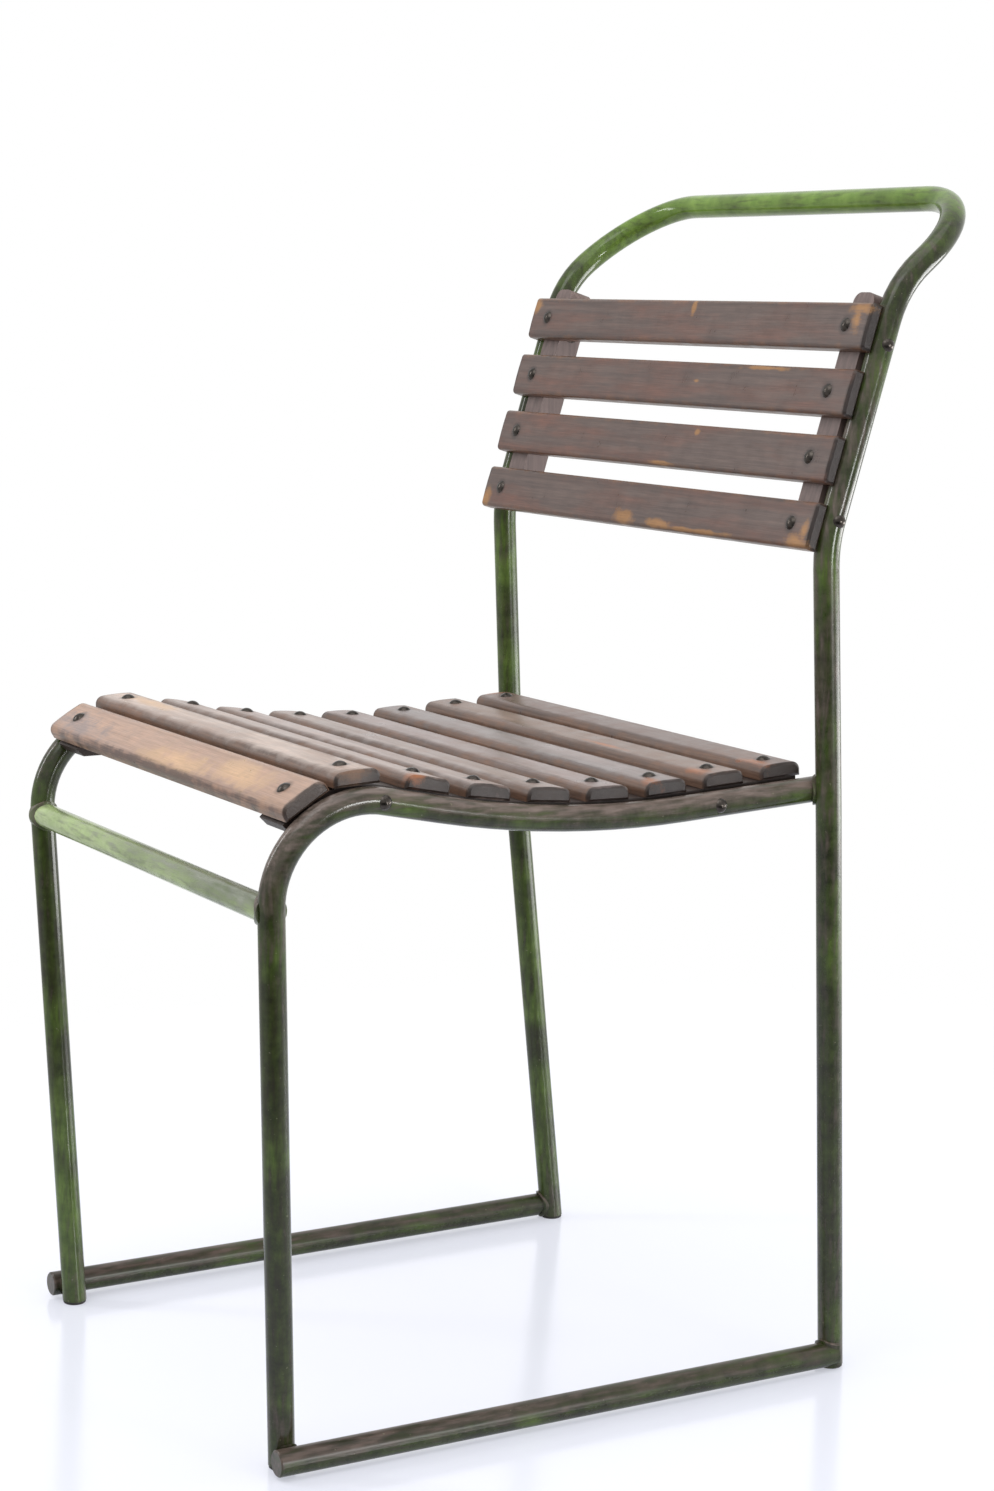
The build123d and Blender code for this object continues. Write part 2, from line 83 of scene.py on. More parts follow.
# %% [markdown]
# A finish begins as an empty tree, which `start` returns with its material, and ends with one shader,
# which `finish` adds. Patterns are given in millimetres, as they would be measured on the chair, and
# `per_metre` turns them into the scale that a texture wants. `dress` puts a finish on pieces. Noise
# seldom leaves the middle of its range, so masks often spread that span over the whole way from 0 to 1.
# Spans are written as a Map Range node takes them: from low to high, and then, where they are not 0 and
# 1, what these become.

# %% Material helpers
NOISE_SPAN = (0.3, 0.7)


def start(name):
    """A new material and its empty tree."""
    material = bpy.data.materials.new(name)
    material.use_nodes = True
    material.node_tree.nodes.clear()
    return material, material.node_tree


def finish(tree, sockets):
    """Close a tree with the shader whose sockets are given."""
    add(tree, "OutputMaterial", [add(tree, "BsdfPrincipled", sockets)])


def per_metre(size_mm):
    """How often a pattern of this size in millimetres repeats in a metre."""
    return 1 / (size_mm * MM)


def dress(names, material):
    """Put one finish on the named pieces."""
    for name in names:
        chair[name].data.materials.clear()
        chair[name].data.materials.append(material)
    print(material.name, "on", ", ".join(names))


print("a pattern of 10 mm repeats", round(per_metre(10)), "times in a metre")

# %% [markdown]
# ## Worn green enamel
# The frame was dipped in glossy green enamel and stoved. Hands kept the top rail and the stretcher green,
# while the legs went dark olive, and the knees and floor tubes are rubbed and rusted to a purple brown. A
# picture could not wrap all those bends without seams, so noise in the chair's own space makes the marks.
# First we say where they lie. The shares of dulled paint and of rubbed brown are written at heights above
# the floor, as on the real legs, and may lean to one side of the chair. Grime runs along a tube, so its
# noise is drawn out along the axis that the tube follows, and changes to another axis at the bend.

# %% Wear along a tube
STREAK = 4.0
STREAK_DRAWN = 6.0
STREAK_DETAIL = 4.0
BEND_BLEND = 25 * MM


def share_at(tree, place, height, share):
    """A share given at some heights in metres, with what it gains for every metre along X, Y and Z."""
    stops, lean = share
    ramp = add(tree, "ValToRGB", [height])
    for at, level in stops:
        ramp.color_ramp.elements.new(at).color = (level, level, level, 1)
    ramp.color_ramp.elements.remove(ramp.color_ramp.elements[0])
    ramp.color_ramp.elements.remove(ramp.color_ramp.elements[-1])
    leaning = add(tree, "VectorMath", [place, lean], operation="DOT_PRODUCT")
    return add(tree, "Math", [ramp, leaning], operation="ADD")


def tube_streak(tree, place, height, runs, bend):
    """Noise along a tube that follows one axis below the height of its bend and another above it."""
    noises = []
    for run in runs:
        lengthwise = [1 / STREAK_DRAWN if axis == run else 1.0 for axis in "XYZ"]
        drawn = add(tree, "VectorMath", [place, lengthwise], operation="MULTIPLY")
        sockets = {"Vector": drawn, "Scale": per_metre(STREAK), "Detail": STREAK_DETAIL}
        noises.append(add(tree, "TexNoise", sockets))
    turned = add(tree, "MapRange", [height, bend - BEND_BLEND, bend + BEND_BLEND])
    return add(tree, "Mix", {FACTOR: turned, A_FLOAT: noises[0], B_FLOAT: noises[1]}, data_type="FLOAT")


print("streaks are", STREAK, "mm wide and", STREAK * STREAK_DRAWN, "mm long")

# %% [markdown]
# The colour is built in layers, each laid over the last by a mask, because that is how a tube ages and
# because a layer can then be changed by itself. Sun dulls the green to olive in broad clouds, and a finer
# mottle varies both. Grime then darkens the streaks, most where the paint is old.

# %% Paint gone dull
OLIVE = ("#222912", "#424e26")
GRIME = "#2a241f"
CLOUD_PULL = 1.4
DULLING = (0.75, 1.45)
AGE_SOILS = 0.26
SOILING = (0.55, 0.9, 0.0, 0.8)


def dulled_paint(tree, fresh, age, cloud, mottle, streak):
    """Paint of two fresh tones that goes olive where it has aged, with grime in its streaks."""
    bright = add(tree, "Mix", {FACTOR: mottle, FIRST: fresh[0], SECOND: fresh[1]}, data_type="RGBA")
    patchy = add(tree, "MapRange", [mottle, *NOISE_SPAN])
    deep = add(tree, "Mix", {FACTOR: patchy, FIRST: OLIVE[0], SECOND: OLIVE[1]}, data_type="RGBA")
    aged = add(tree, "Math", [cloud, CLOUD_PULL, age], operation="MULTIPLY_ADD")
    dulled = add(tree, "MapRange", [aged, *DULLING])
    paint = add(tree, "Mix", {FACTOR: dulled, FIRST: bright, SECOND: deep}, data_type="RGBA")
    soiled = add(tree, "Math", [age, AGE_SOILS, streak], operation="MULTIPLY_ADD")
    grime = add(tree, "MapRange", [soiled, *SOILING])
    return add(tree, "Mix", {FACTOR: grime, FIRST: paint, SECOND: GRIME}, data_type="RGBA")


print("old paint lies between", OLIVE[0], "and", OLIVE[1])

# %% [markdown]
# Rubbing wears the paint through to brown, mostly on the upper side of a tube. Vertex paint could mark
# it, but the surface normal finds that side on every tube at once. Streaks break the brown up, so it
# never looks sprayed on. On the stretcher the same layer is grey chalk and painted shade, darker on the
# upper side that the seat shades.

# %% Paint rubbed brown, and the stretcher's painted shade
UPPER_SIDE = (-0.3, 0.6, 0.25, 1.0)
STREAK_PART = 0.6
UPPER_MIX = (0.68, 1.15, 0.0, 0.92)


def upper_amount(tree, share, mottle, streak):
    """How far the paint is rubbed: the share on upper sides, and less of it below, broken up by noise. On
    the stretcher it is how far grey chalk and painted shade cover it.
    """
    upward = add(tree, "SeparateXYZ", [add(tree, "NewGeometry").outputs["Normal"]]).outputs["Z"]
    upper = add(tree, "MapRange", [upward, *UPPER_SIDE])
    rub = add(tree, "Math", [share, upper], operation="MULTIPLY")
    broken = add(tree, "Mix", {FACTOR: STREAK_PART, A_FLOAT: mottle, B_FLOAT: streak}, data_type="FLOAT")
    return add(tree, "Math", [rub, broken], operation="ADD")


def upper_paint(tree, paint, rubbed, upper_tones, streak):
    """Paint that goes to two other tones on its upper side: rusted brown where it is rubbed, and on the
    stretcher grey chalk with painted shade.
    """
    streaky = add(tree, "MapRange", [streak, *NOISE_SPAN])
    worn = add(tree, "Mix", {FACTOR: streaky, FIRST: upper_tones[0], SECOND: upper_tones[1]}, data_type="RGBA")
    brown = add(tree, "MapRange", [rubbed, *UPPER_MIX])
    return add(tree, "Mix", {FACTOR: brown, FIRST: paint, SECOND: worn}, data_type="RGBA")


print("the underside of a tube keeps", UPPER_SIDE[2], "of the brown on its top")

# %% [markdown]
# The recipe joins these layers and adds small pale chips. Stoved enamel is a hard, closed film. To the
# eye that is a deep colour with a clear mirror on it, sharper where clothes have polished the tube and
# softer where it is worn.

# %% Enamel recipe
GREEN = ("#4a6f22", "#93b252")
RUST = ("#4c413e", "#83746c")
PRIMER = "#8b8a70"
# Each noise has its size in millimetres, its steps of detail and how rough these are.
CLOUD = (70.0, 2.0, 0.5)
MOTTLE = (12.0, 6.0, 0.65)
FLAKE = (2.6, 3.0, 0.5)
CHIPPING = (0.71, 0.75, 0.0, 0.5)
SATIN, POLISHED = 0.22, 0.1
RUB_DULLS = 0.08
CHIP_SINKS = -0.4
RELIEF, RELIEF_DEPTH = 0.25, 0.4 * MM
# Enamel has about 1.5, and the film of dust on it mirrors a little less.
ENAMEL_IOR = 1.43
# This height is above the whole chair, for tubes that nothing polished.
NOWHERE = 2.0


def worn_enamel(name, runs, bend, fresh, ages, upper_shares, upper_tones=RUST, polished=NOWHERE):
    """Stoved enamel on a tube, from its shares of dulled and of rubbed paint, polished above a height. On
    the stretcher the rubbed share is grey chalk and painted shade.
    """
    material, tree = start(name)
    place = add(tree, "TexCoord").outputs["Object"]
    height = add(tree, "SeparateXYZ", [place]).outputs["Z"]
    age, share = (share_at(tree, place, height, given) for given in (ages, upper_shares))
    streak = tube_streak(tree, place, height, runs, bend)
    noises = []
    for size, detail, rough in (CLOUD, MOTTLE, FLAKE):
        sockets = {"Vector": place, "Scale": per_metre(size), "Detail": detail, "Roughness": rough}
        noises.append(add(tree, "TexNoise", sockets))
    cloud, mottle, flake = noises
    paint = dulled_paint(tree, fresh, age, cloud, mottle, streak)
    # On the stretcher this upper-side amount also lays painted shade.
    rubbed = upper_amount(tree, share, mottle, streak)
    paint = upper_paint(tree, paint, rubbed, upper_tones, streak)
    chips = add(tree, "MapRange", [flake, *CHIPPING])
    paint = add(tree, "Mix", {FACTOR: chips, FIRST: paint, SECOND: PRIMER}, data_type="RGBA")
    gloss = add(tree, "MapRange", [height, polished - BEND_BLEND, polished + BEND_BLEND, SATIN, POLISHED])
    rough = add(tree, "Math", [rubbed, RUB_DULLS, gloss], operation="MULTIPLY_ADD")
    uneven = add(tree, "Math", [chips, CHIP_SINKS, mottle], operation="MULTIPLY_ADD")
    bump = add(tree, "Bump", {"Height": uneven, "Strength": RELIEF, "Distance": RELIEF_DEPTH})
    finish(tree, {"Base Color": paint, "Roughness": rough, "IOR": ENAMEL_IOR, "Normal": bump})
    return material


print("clouds", round(per_metre(CLOUD[0]), 1), "and mottle", round(per_metre(MOTTLE[0]), 1), "to the metre")

# %% [markdown]
# The hoop is greenest along the top rail and darkens down its legs, more so on the sitter's left, and
# clothes have polished its upper part. The front leg on the sitter's left is the darkest, with a brown
# knee and seat rail. Its twin is greener down to its foot, and both shine all the way. The welds are
# dull, with some chalky green left. A table of heights for each tube is easier to adjust than a painted
# mask.

# %% Paint the bent tubes
CHALKY_GREEN = ("#86a658", "#d2dfb0")
# At these heights in metres the tubes turn from upright to level.
TOP_RAIL = 0.85
SEAT_RAIL = 0.43
HOOP_POLISH = 0.62
FLOOR = 0.0
EVEN = (0, 0, 0)
# Each table has pairs of a height and the share there, and then the lean.
HOOP_AGE = ([(0.01, 0.76), (0.3, 0.64), (0.45, 0.62), (0.6, 0.68), (0.75, 0.68), (0.83, 0.68), (0.862, 0.5),
             (0.876, 0.2)], (0.35, 0, 0))
HOOP_BROWN = ([(0.01, 0.45), (0.12, 0.15), (0.4, 0.38), (0.6, 0.45), (0.78, 0.22), (0.87, 0.05)],
              (0.5, 0, 0))
LEFT_AGE = ([(0.01, 0.9), (0.2, 0.74), (0.4, 0.82), (0.46, 0.78)], EVEN)
LEFT_BROWN = ([(0.01, 0.6), (0.08, 0.2), (0.3, 0.12), (0.36, 0.4), (0.42, 0.6), (0.48, 0.62)], EVEN)
RIGHT_AGE = ([(0.01, 0.6), (0.06, 0.5), (0.25, 0.65), (0.4, 0.72), (0.47, 0.65)], EVEN)
RIGHT_BROWN = ([(0.01, 0.4), (0.1, 0.15), (0.38, 0.2), (0.47, 0.3)], EVEN)
WELD_AGE = ([(0.1, 0.9), (0.35, 0.7)], EVEN)
hoop = worn_enamel("green_enamel_hoop", "ZX", TOP_RAIL, GREEN, HOOP_AGE, HOOP_BROWN, polished=HOOP_POLISH)
dress(["back_hoop"], hoop)
for side, ages, upper_shares in (("left", LEFT_AGE, LEFT_BROWN), ("right", RIGHT_AGE, RIGHT_BROWN)):
    leg = worn_enamel(f"green_enamel_{side}_leg", "ZY", SEAT_RAIL, GREEN, ages, upper_shares, polished=FLOOR)
    dress(["front_leg_" + side], leg)
welds = worn_enamel("chalky_enamel_welds", "ZY", SEAT_RAIL, CHALKY_GREEN, WELD_AGE, LEFT_BROWN)
dress(["frame_welds"], welds)

# %% [markdown]
# The level tubes wear in their own ways. The stretcher has hardly aged, but its green has gone chalky,
# which the eye takes as dry and pale. Its upper side is greyed, more so on the sitter's left, and is
# painted darker there as shade from the seat above. The runners are browned along the top, most towards the
# front, and their closed front ends are brown all over. The same recipe serves for all of them with other
# tables, so they still look like one frame.

# %% Paint the level tubes
STRETCHER_AGE = ([(0.3, 0.2), (0.5, 0.2)], EVEN)
# The grey on the stretcher's upper side is chalk, with painted shade from the seat above.
STRETCHER_GREY_AND_SHADE = ([(0.3, 0.45), (0.5, 0.45)], (1.2, 0, 0))
STRETCHER_LOW = 0.3
# Grey chalk tones, made darker as painted shade.
CHALK_AND_SHADE = ("#565b4e", "#969b8c")
RUNNER_AGE = ([(0.01, 0.78), (0.5, 0.78)], EVEN)
RUNNER_BROWN = ([(0.01, 0.45), (0.5, 0.45)], (0, -0.7, 0))
RUNNER_RUST = ("#231b1a", "#665850")
CAP_BROWN = ([(0.01, 1.0), (0.5, 1.0)], EVEN)
chalky = worn_enamel("chalky_enamel_stretcher_painted_shade", "XX", SEAT_RAIL, CHALKY_GREEN, STRETCHER_AGE,
                     STRETCHER_GREY_AND_SHADE, CHALK_AND_SHADE, STRETCHER_LOW)
dress(["front_stretcher"], chalky)
runners = worn_enamel("browned_enamel_runners", "YY", SEAT_RAIL, GREEN, RUNNER_AGE, RUNNER_BROWN,
                      RUNNER_RUST)
dress(["runner_left", "runner_right"], runners)
caps = worn_enamel("browned_enamel_caps", "YY", SEAT_RAIL, GREEN, RUNNER_AGE, CAP_BROWN, RUNNER_RUST)
dress(["runner_cap_left", "runner_cap_right"], caps)

# %% [markdown]
# ## Stained slats
# The slats are beech, stained dark brown and varnished. Sitters rubbed the stain off the tops of the seat
# slats and off every edge, and bare orange-tan wood shows at a few ends and patches. Each slat gets its
# own material, because no two boards share their grain. To follow a board that is tilted, we find its
# frame from its mesh: the largest flat face lies on its underside, and the board runs along X.

# %% Each slat's own frame
SEAT_SLATS = [f"seat_slat_{i}" for i in range(1, 10)]
BACK_SLATS = [f"back_slat_{i}" for i in range(1, 5)]
UP, FORWARD = Vector((0, 0, 1)), Vector((0, -1, 0))
# The faces at a board's two ends lean further towards X than this.
END_LEAN = 0.1
BOLT_NEAR = 10 * MM


def slat_frame(name, towards):
    """A slat's centre, its turn and its half length: X along it, Y across it, Z out of its face."""
    faces = [face for face in chair[name].data.polygons if abs(face.normal.x) < END_LEAN]
    out = max(faces, key=lambda face: face.area).normal.copy()
    if out.dot(towards) < 0:
        out.negate()
    across = out.cross(Vector((1, 0, 0))).normalized()
    low, high = (Vector(corner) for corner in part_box(name))
    turn = Matrix(((1, across.x, out.x), (0, across.y, out.y), (0, across.z, out.z)))
    return (low + high) / 2, turn.to_euler(), (high.x - low.x) / 2


def bolt_out(name):
    """How far from the chair's middle the bolt through a slat stands."""
    centre = slat_frames[name][0]
    corners = [corner.co for corner in chair[name.rsplit("_", 1)[0] + "_bolts"].data.vertices]
    near = [co.x for co in corners if co.x > 0 and (co - centre).yz.length < BOLT_NEAR]
    return (min(near) + max(near)) / 2


slat_frames = {name: slat_frame(name, UP) for name in SEAT_SLATS}
slat_frames.update({name: slat_frame(name, FORWARD) for name in BACK_SLATS})
for name, (_, turn, _) in slat_frames.items():
    print(name, "tilted", round(math.degrees(turn.x), 1), "bolts", round(bolt_out(name), 4), "m out")

# %% [markdown]
# Grain could be a wave texture, but beech has none of its stripes. So the grain is noise that is
# stretched along the board: about three millimetres wide and sixteen centimetres long, with short pores
# in it and a broad flame. A fourth noise is even in all directions, for wear. Every board starts at
# another place in the same noise.

# %% Slat grain
# Lengths and widths in millimetres. Real pores are about a tenth as wide, which would not show.
GRAIN = (160.0, 3.2)
PORE = (26.0, 0.8)
FLAME = (100.0, 17.0)
WEAR = (16.0, 16.0)
WOOD_DETAIL, FIBRE_ROUGH = 5.0, 0.6
# Each new board starts this many metres further on in the noise.
BOARD_STEP = 3.7


def slat_patterns(tree, name):
    """The board's own coordinates, and its noises: grain, pores, broad flame and ragged wear."""
    centre, turn = slat_frames[name][:2]
    place = add(tree, "TexCoord").outputs["Object"]
    local = add(tree, "Mapping", [place, centre, turn], vector_type="TEXTURE")
    own = (BOARD_STEP * len(bpy.data.materials), 0, 0)
    board = add(tree, "VectorMath", [local, own])
    noises = []
    for length, width in (GRAIN, PORE, FLAME, WEAR):
        scale = (per_metre(length), per_metre(width), per_metre(width))
        drawn = add(tree, "VectorMath", [board, scale], operation="MULTIPLY")
        sockets = {"Vector": drawn, "Scale": 1.0, "Detail": WOOD_DETAIL, "Roughness": FIBRE_ROUGH}
        noises.append(add(tree, "TexNoise", sockets))
    return local, noises


grain_along, grain_across = (per_metre(size) for size in GRAIN)
print("grain repeats", round(grain_across), "times a metre across and", round(grain_along, 1), "along")

# %% [markdown]
# The stain lies in dark and light veins with warmer flames. Rubbing lightens the top of a board and bares
# its edges. On the seat slats the pale top is partly painted sheen, which leaves the shoulders darker.
# Edge wear could be taken from the mesh's curvature, but these edges are rounded too softly
# for that, so both masks come from the distance to the edge. Noise makes them ragged, and the flames keep
# some of the stain.

# %% Stain and rubbing
# Half the width of a slat.
EDGE = 17.5 * MM
RAGGED_EDGE = 12 * MM
GLOW = (0.45, 0.75, 0.0, 0.85)
TOP_SPAN = (EDGE * 0.95, EDGE * 0.5)
SPARED = (0.4, 0.65, 1.0, 0.5)
RIM_SPAN = (EDGE * 0.84, EDGE)
RIM_TAN = "#8a5f3c"


def rubbed_stain(tree, tones, top_rub_and_sheen, edge_rub, grain, flame, to_edge):
    """Stain of two tones and a flame, rubbed to a fourth tone on top and to tan along the edges. On the
    seat slats the top tone holds painted sheen too.
    """
    veins = add(tree, "MapRange", [grain, *NOISE_SPAN])
    wood = add(tree, "Mix", {FACTOR: veins, FIRST: tones[0], SECOND: tones[1]}, data_type="RGBA")
    glow = add(tree, "MapRange", [flame, *GLOW])
    wood = add(tree, "Mix", {FACTOR: glow, FIRST: wood, SECOND: tones[2]}, data_type="RGBA")
    # On the seat slats this lighter top is partly rubbed wood and partly painted sheen.
    top = add(tree, "MapRange", [to_edge, *TOP_SPAN, 0.0, top_rub_and_sheen])
    spared = add(tree, "MapRange", [flame, *SPARED])
    top = add(tree, "Math", [top, spared], operation="MULTIPLY")
    wood = add(tree, "Mix", {FACTOR: top, FIRST: wood, SECOND: tones[3]}, data_type="RGBA")
    rim = add(tree, "MapRange", [to_edge, *RIM_SPAN, 0.0, edge_rub])
    return add(tree, "Mix", {FACTOR: rim, FIRST: wood, SECOND: RIM_TAN}, data_type="RGBA")


print("a slat is", round(2 * EDGE / MM), "mm wide")

# %% [markdown]
# Three marks have their own places. The sawn ends soaked up the most stain. Bare patches are listed one by
# one, because we know where the real boards lost their stain: each is an oval with a torn rim. Grime
# gathers in a ring round each bolt head, at the distance that we measured on the mesh.

# %% Ends, patches and bolt rings
SOAKED = "#211a18"
SOAK_FROM, SOAK_TO, SOAK = 4 * MM, 1 * MM, 0.9
RAGGED_END = 8 * MM
# In millimetres: a patch lies this far above the board's middle, and reaches this far up and down.
PATCH_HEIGHT, PATCH_DEPTH = 6.0, 12.0
TEAR = 2.6
BARING = (1.75, 1.05, 0.0, 0.85)
RING_GRIME = "#2b2321"
RING = (8.5 * MM, 5.0 * MM, 0.0, 0.6)


def soaked_ends(tree, wood, along, ragged, half):
    """Darken the sawn ends of a board, given half its length."""
    tip = add(tree, "Math", [ragged, RAGGED_END, along], operation="MULTIPLY_ADD")
    soaked = add(tree, "MapRange", [tip, half - SOAK_FROM, half - SOAK_TO, 0.0, SOAK])
    return add(tree, "Mix", {FACTOR: soaked, FIRST: wood, SECOND: SOAKED}, data_type="RGBA")


def bare_patches(tree, wood, local, torn, patches):
    """Lay patches on a board: a tone, and in millimetres along, across, half length and half width."""
    for tone, spot_x, spot_y, reach, breadth in patches:
        spot = [size * MM for size in (spot_x, spot_y, PATCH_HEIGHT)]
        shape = [per_metre(size) for size in (reach, breadth, PATCH_DEPTH)]
        gap = add(tree, "VectorMath", [local, spot], operation="SUBTRACT")
        gap = add(tree, "VectorMath", [gap, shape], operation="MULTIPLY")
        gap = add(tree, "VectorMath", [gap], operation="LENGTH")
        gap = add(tree, "Math", [torn, TEAR, gap], operation="MULTIPLY_ADD")
        bare = add(tree, "MapRange", [gap, *BARING])
        wood = add(tree, "Mix", {FACTOR: bare, FIRST: wood, SECOND: tone}, data_type="RGBA")
    return wood


def bolt_rings(tree, wood, along, across, bolt):
    """Soil the wood round both bolts of a board, which stand equally far from its middle."""
    from_bolt = add(tree, "Math", [along, bolt], operation="SUBTRACT")
    ring = add(tree, "VectorMath", [add(tree, "CombineXYZ", [from_bolt, across])], operation="LENGTH")
    soiled = add(tree, "MapRange", [ring, *RING])
    return add(tree, "Mix", {FACTOR: soiled, FIRST: wood, SECOND: RING_GRIME}, data_type="RGBA")


print("rings of grime are", round(2 * RING[0] / MM), "mm across")

# %% [markdown]
# The recipe for one slat lays these over each other, and then shades the wood with its pores and with
# broad smudges. Shade multiplies the colour here, because mixing in black would change its hue. Old
# varnish on beech gives the eye a soft sheen that is broken by the grain and dull where it is worn.

# %% Slat recipe
NOISE_MIDDLE = 0.5
PORES_TEAR = 0.5
PORE_SHADE = (0.35, 0.65, 0.8, 1.1)
SMUDGE = (*NOISE_SPAN, 0.85, 1.12)
VARNISH = (*NOISE_SPAN, 0.27, 0.44)
GRAIN_RELIEF, GRAIN_DEPTH = 0.4, 0.25 * MM


def stained_slat(name, tones, top_rub_and_sheen, edge_rub, patches):
    """Stained and varnished beech for one slat. The tones are its dark and light stain, its flame and its
    rubbed top, which on the seat slats holds painted sheen too."""
    material, tree = start("stained_beech_" + name)
    local, (grain, pores, flame, wear) = slat_patterns(tree, name)
    axes = add(tree, "SeparateXYZ", [local])
    along, across = (add(tree, "Math", [axes.outputs[axis]], operation="ABSOLUTE") for axis in "XY")
    ragged = add(tree, "Math", [wear, NOISE_MIDDLE], operation="SUBTRACT")
    to_edge = add(tree, "Math", [ragged, RAGGED_EDGE, across], operation="MULTIPLY_ADD")
    wood = rubbed_stain(tree, tones, top_rub_and_sheen, edge_rub, grain, flame, to_edge)
    wood = soaked_ends(tree, wood, along, ragged, slat_frames[name][2])
    torn = add(tree, "Math", [pores, PORES_TEAR, ragged], operation="MULTIPLY_ADD")
    wood = bare_patches(tree, wood, local, torn, patches)
    wood = bolt_rings(tree, wood, along, across, bolt_out(name))
    streak = add(tree, "MapRange", [pores, *PORE_SHADE])
    smudge = add(tree, "MapRange", [wear, *SMUDGE])
    shade = add(tree, "Math", [streak, smudge], operation="MULTIPLY")
    wood = add(tree, "VectorMath", [wood, shade], operation="MULTIPLY")
    rough = add(tree, "MapRange", [wear, *VARNISH])
    relief = add(tree, "Math", [pores, grain], operation="ADD")
    bump = add(tree, "Bump", {"Height": relief, "Strength": GRAIN_RELIEF, "Distance": GRAIN_DEPTH})
    finish(tree, {"Base Color": wood, "Roughness": rough, "Normal": bump})
    return material


print("varnish roughness from", VARNISH[2], "to", VARNISH[3])

# %% [markdown]
# The back slats kept most of their dark stain. Bare wood shows at the ends of the top and bottom slats
# and along the bottom edge, where the chair was lifted and stacked. Scattered at random, patches would
# land where no hand ever reached, so each slat has a list of its own.

# %% Dress the back slats
BACK_TONES = ("#4a3c38", "#69574f", "#784b3b", "#7c6963")
BACK_TOP_RUB, BACK_EDGE_RUB = 0.25, 0.35
BARE_GOLD = "#b07f4a"
back_patches = {
    "back_slat_1": [(229, 13, 15, 5), (226, 3, 7, 11), (-234, 10, 8, 7), (8, 11, 3, 6)],
    "back_slat_2": [(40, 2, 5, 2), (130, 15, 30, 2)],
    "back_slat_3": [(60, 12, 4, 3), (20, -15, 24, 2)],
    "back_slat_4": [(226, -13, 17, 6), (232, -4, 7, 9), (-234, -11, 8, 9), (-10, -12, 14, 6),
                    (40, -13, 20, 4), (90, -15, 60, 2)],
}
for name, places in back_patches.items():
    patches = [(BARE_GOLD, *place) for place in places]
    dress([name], stained_slat(name, BACK_TONES, BACK_TOP_RUB, BACK_EDGE_RUB, patches))

# %% [markdown]
# The front slat is rubbed down to pale wood by the backs of sitters' knees, with a dark line of painted
# shade under its rounded front edge. The others are pale along the crown and dark on their shoulders, and
# their crowns get darker towards the back. Both are partly rubbing and partly painted sheen, which is
# strongest at the front. Some patches are only lighter or greyer than the stain, so each has its own
# tone.

# %% Dress the seat slats
FRONT_TONES = ("#8c7165", "#b79b8c", "#cba383", "#c19f8a")
FRONT_TOP_RUB, FRONT_EDGE_RUB = 0.7, 0.3
SEAT_STAIN = ("#40342f", "#74635b", "#84624f")
SEAT_TOP_RUB_AND_SHEEN, SEAT_EDGE_RUB = 0.75, 0.25
# Crown tones are rubbed wood with painted sheen, palest at the front, where the painted sheen is strongest.
CROWNS_WITH_SHEEN = ("#e8d1c3", "#d0bbb1", "#c9b4ac", "#bca9a1", "#b09e9a", "#a09593", "#9a8072", "#8c766f")
BARE_ORANGE, DULL_TAN, PALE_TAN, LILAC_GREY = "#a9683e", "#7b5a43", "#d9b28b", "#9c8b87"
# A dark line of painted shade under the front slat's rounded front edge.
PAINTED_SHADE_LINE = "#5d4840"
seat_patches = {
    "seat_slat_2": [(PALE_TAN, -150, 4, 60, 8), (DULL_TAN, 212, -4, 8, 14)],
    "seat_slat_3": [(BARE_ORANGE, 212, -10, 8, 8)],
    "seat_slat_6": [(LILAC_GREY, 60, 0, 70, 8)],
    "seat_slat_7": [(LILAC_GREY, 90, 4, 80, 9), (BARE_ORANGE, 206, -9, 10, 7)],
    "seat_slat_8": [(BARE_ORANGE, 60, -8, 30, 3), (BARE_ORANGE, 196, -11, 16, 6)],
    "seat_slat_9": [(BARE_ORANGE, 196, -9, 18, 6), (BARE_ORANGE, -213, 0, 6, 12)],
}
# The last patch of the front slat is that line of painted shade.
front_patches = [(PALE_TAN, 20, -8, 60, 12), (PALE_TAN, 120, -2, 50, 14), (LILAC_GREY, -165, -6, 60, 14),
                 (PAINTED_SHADE_LINE, 0, -19, 240, 4)]
front = stained_slat("seat_slat_1", FRONT_TONES, FRONT_TOP_RUB, FRONT_EDGE_RUB, front_patches)
dress(["seat_slat_1"], front)
for name, crown in zip(SEAT_SLATS[1:], CROWNS_WITH_SHEEN):
    tones = (*SEAT_STAIN, crown)
    slat = stained_slat(name, tones, SEAT_TOP_RUB_AND_SHEEN, SEAT_EDGE_RUB, seat_patches.get(name, []))
    dress([name], slat)

# %% [markdown]
# ## Battens, bolts and feet
# The battens behind the slats are the same beech but never rubbed, so the eye sees an even brown with a
# dull sheen. One stretched noise is enough for them. Those under the seat are painted much darker than
# those of the back, as painted shade under the slats.

# %% Batten wood
# The seat battens' darker tones are painted shade.
SHADED_SEAT_BATTEN = ("#1c1513", "#43342e")
BACK_BATTEN = ("#4a3c3a", "#917d78")
BATTEN_SHEEN = {"To Min": 0.38, "To Max": 0.55}
BATTEN_RELIEF, BATTEN_DEPTH = 0.4, 0.3 * MM


